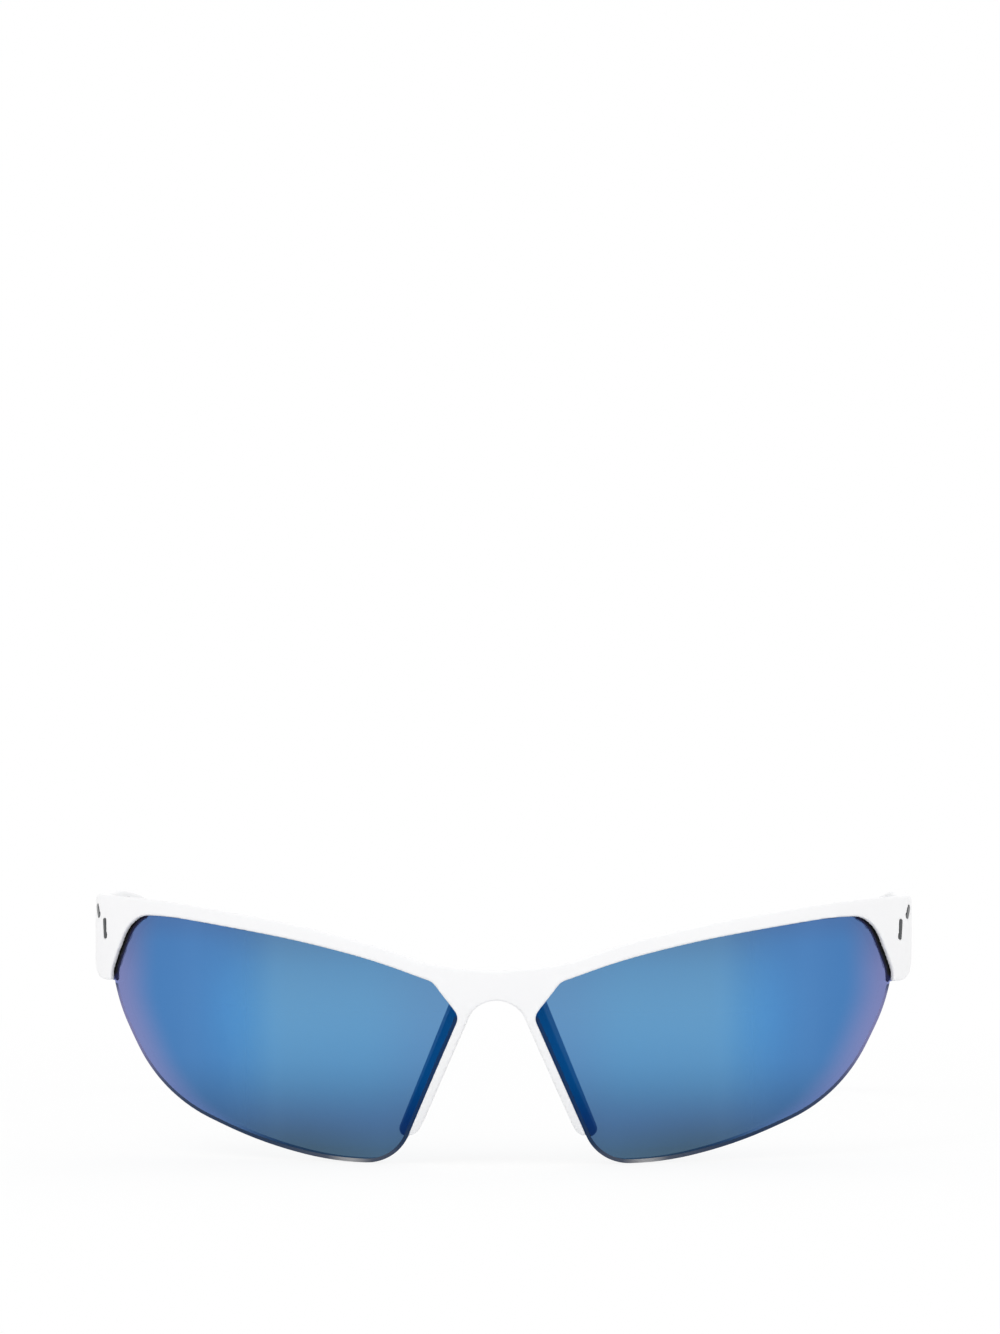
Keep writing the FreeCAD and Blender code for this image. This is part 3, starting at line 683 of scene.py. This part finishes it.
form = mouldForm["front_frame"]
mould("front_frame", form, form["name"], looks["nylon"], "front")
for side in sides:
    for node, look, body, slotName in (
        ("temple_arm", "nylon", "temple_" + side, "frame_nylon"),
        ("temple_tip", "tip", "temple_" + side, "tip_rubber"),
        ("nose_pad", "pad", "front", "pad_rubber"),
    ):
        form = mouldForm[node]
        mould(f"{node}_{side}", form, f"{form['name']}_{side}", looks[look], body)

# gaskets, with the distance to the lens kept for their painted reflection of the coat

def makeGasket(side):
    nodeName = "lens_gasket_" + side
    lens = frame["nodes"]["lens_" + side].data
    lensTree = BVHTree.FromPolygons([point.co for point in lens.vertices],
                                    [face.vertices for face in lens.polygons])
    piece = mergedCopy(nodeName, "softGasket_" + side)
    smoothFaces(piece, gasketForm["smoothBelow"])
    near = piece.data.attributes.new("nearLens", "FLOAT", "POINT")
    for point, value in zip(piece.data.vertices, near.data):
        gap = lensTree.find_nearest(point.co)[3]
        value.value = max(0.0, 1 - gap / gasketForm["width"])
    piece.data.materials.append(looks["gasket"])
    standFor(piece, nodeName, "front")


for side in sides:
    makeGasket(side)

# solids that keep their own shape

carriedLooks = {
    "end_inlays": "inlay",
    "front_hinge_leaf": "hinge",
    "temple_hinge_leaf": "hinge",
    "temple_core_wire": "hinge",
    "front_leaf_screws": "screw",
    "temple_leaf_screws": "screw",
    "hinge_screw": "screw",
}
for node, look in carriedLooks.items():
    for side in sides:
        solid = frame["nodes"][f"{node}_{side}"]
        solid.data.materials.clear()
        solid.data.materials.append(looks[look])
print("carried solids:", 2 * len(carriedLooks))

# floor, world and lamps

stageLook = {
    "floor": 3.0,
    "paper": (0.9, 0.9, 0.9),
    "shadowShare": 0.16,
    "shadowEnd": [(0.10, 1.0), (0.32, 0.0)],  # metres from the middle
    "fill": 0.74,
    "drop": 0.00002,
}


def seenDirectly(tree):
    path = tree.node("ShaderNodeLightPath").socket.node
    camera, glossy, clear = (
        Wire(tree.tree, path.outputs[name])
        for name in ("Is Camera Ray", "Is Glossy Ray", "Is Transmission Ray")
    )
    return camera.larger(glossy).larger(clear)


def makeFloor():
    bpy.ops.object.select_all(action="DESELECT")
    bpy.ops.mesh.primitive_plane_add(size=stageLook["floor"], location=(0, 0, -stageLook["drop"]))
    floor = bpy.context.active_object
    floor.name = "paleFloor"
    material, tree, place = newMaterial("paleFloor")
    lit = tree.node("ShaderNodeBsdfDiffuse", {}, {"Color": alpha(stageLook["paper"])})
    glow = tree.node("ShaderNodeEmission", {}, {"Color": white, "Strength": 1.0})
    away = tree.node("ShaderNodeVectorMath", {"operation": "LENGTH"}, {0: place}, "Value")
    share = seenDirectly(tree) * (1 - stageLook["shadowShare"] * away.greyRamp(stageLook["shadowEnd"]))
    finishMaterial(tree, tree.node("ShaderNodeMixShader", {}, {0: share, 1: lit, 2: glow}))
    floor.data.materials.append(material)


def makeWorld():
    world = bpy.data.worlds.new("paleRoom")
    world.use_nodes = True
    world.node_tree.nodes.clear()
    tree = Wire(world.node_tree)
    fill = tree.node("ShaderNodeBackground", {}, {"Color": white, "Strength": stageLook["fill"]})
    seen = tree.node("ShaderNodeBackground", {}, {"Color": white, "Strength": 1.0})
    mixed = tree.node("ShaderNodeMixShader", {}, {0: seenDirectly(tree), 1: fill, 2: seen})
    tree.node("ShaderNodeOutputWorld", {}, {"Surface": mixed})
    bpy.context.scene.world = world


lamps = {
    "keyLamp": {"place": (-0.7, -0.9, 1.2), "size": 1.0, "watts": 7.0},
    "sideLamp": {"place": (0.9, -0.6, 0.8), "size": 0.9, "watts": 3.0},
    "backLamp": {"place": (0.2, 1.0, 1.0), "size": 1.0, "watts": 3.0},
}


def makeLamp(name, values):
    bpy.ops.object.select_all(action="DESELECT")
    bpy.ops.object.light_add(type="AREA", location=values["place"])
    lamp = bpy.context.active_object
    lamp.name = name
    lamp.data.size = values["size"]
    lamp.data.energy = values["watts"]
    lamp.rotation_euler = (-Vector(values["place"])).to_track_quat("-Z", "Y").to_euler()
    lamp.visible_glossy = False


makeFloor()
makeWorld()
for name, values in lamps.items():
    makeLamp(name, values)
print("stage and lamps set")

cameraView = {
    "distance": 0.9,  # from the middle of the front
    "turn": 1.65,  # degrees to the right of straight ahead
    "aside": 0.00058,
    "height": 0.08223,
    "focal": 147.67,
    "sensor": 36.0,
}


def makeCamera():
    turn = math.radians(cameraView["turn"])
    apex = sphereCentre + Vector((0.0, -lensForm["radius"], 0.0))
    back = Vector((math.sin(turn), -math.cos(turn), 0.0))
    right = Vector((math.cos(turn), math.sin(turn), 0.0))
    eye = apex + back * cameraView["distance"] + right * cameraView["aside"]
    eye.z = cameraView["height"]
    bpy.ops.object.camera_add(location=eye, rotation=(math.radians(90), 0.0, turn))
    camera = bpy.context.active_object
    camera.name = "frontCamera"
    camera.data.lens = cameraView["focal"]
    camera.data.sensor_width = cameraView["sensor"]
    bpy.context.scene.camera = camera


makeCamera()
bpy.context.scene.view_settings.view_transform = "Standard"


def corners(box):
    return [[float(value) for value in corner] for corner in box]


print("scene made")
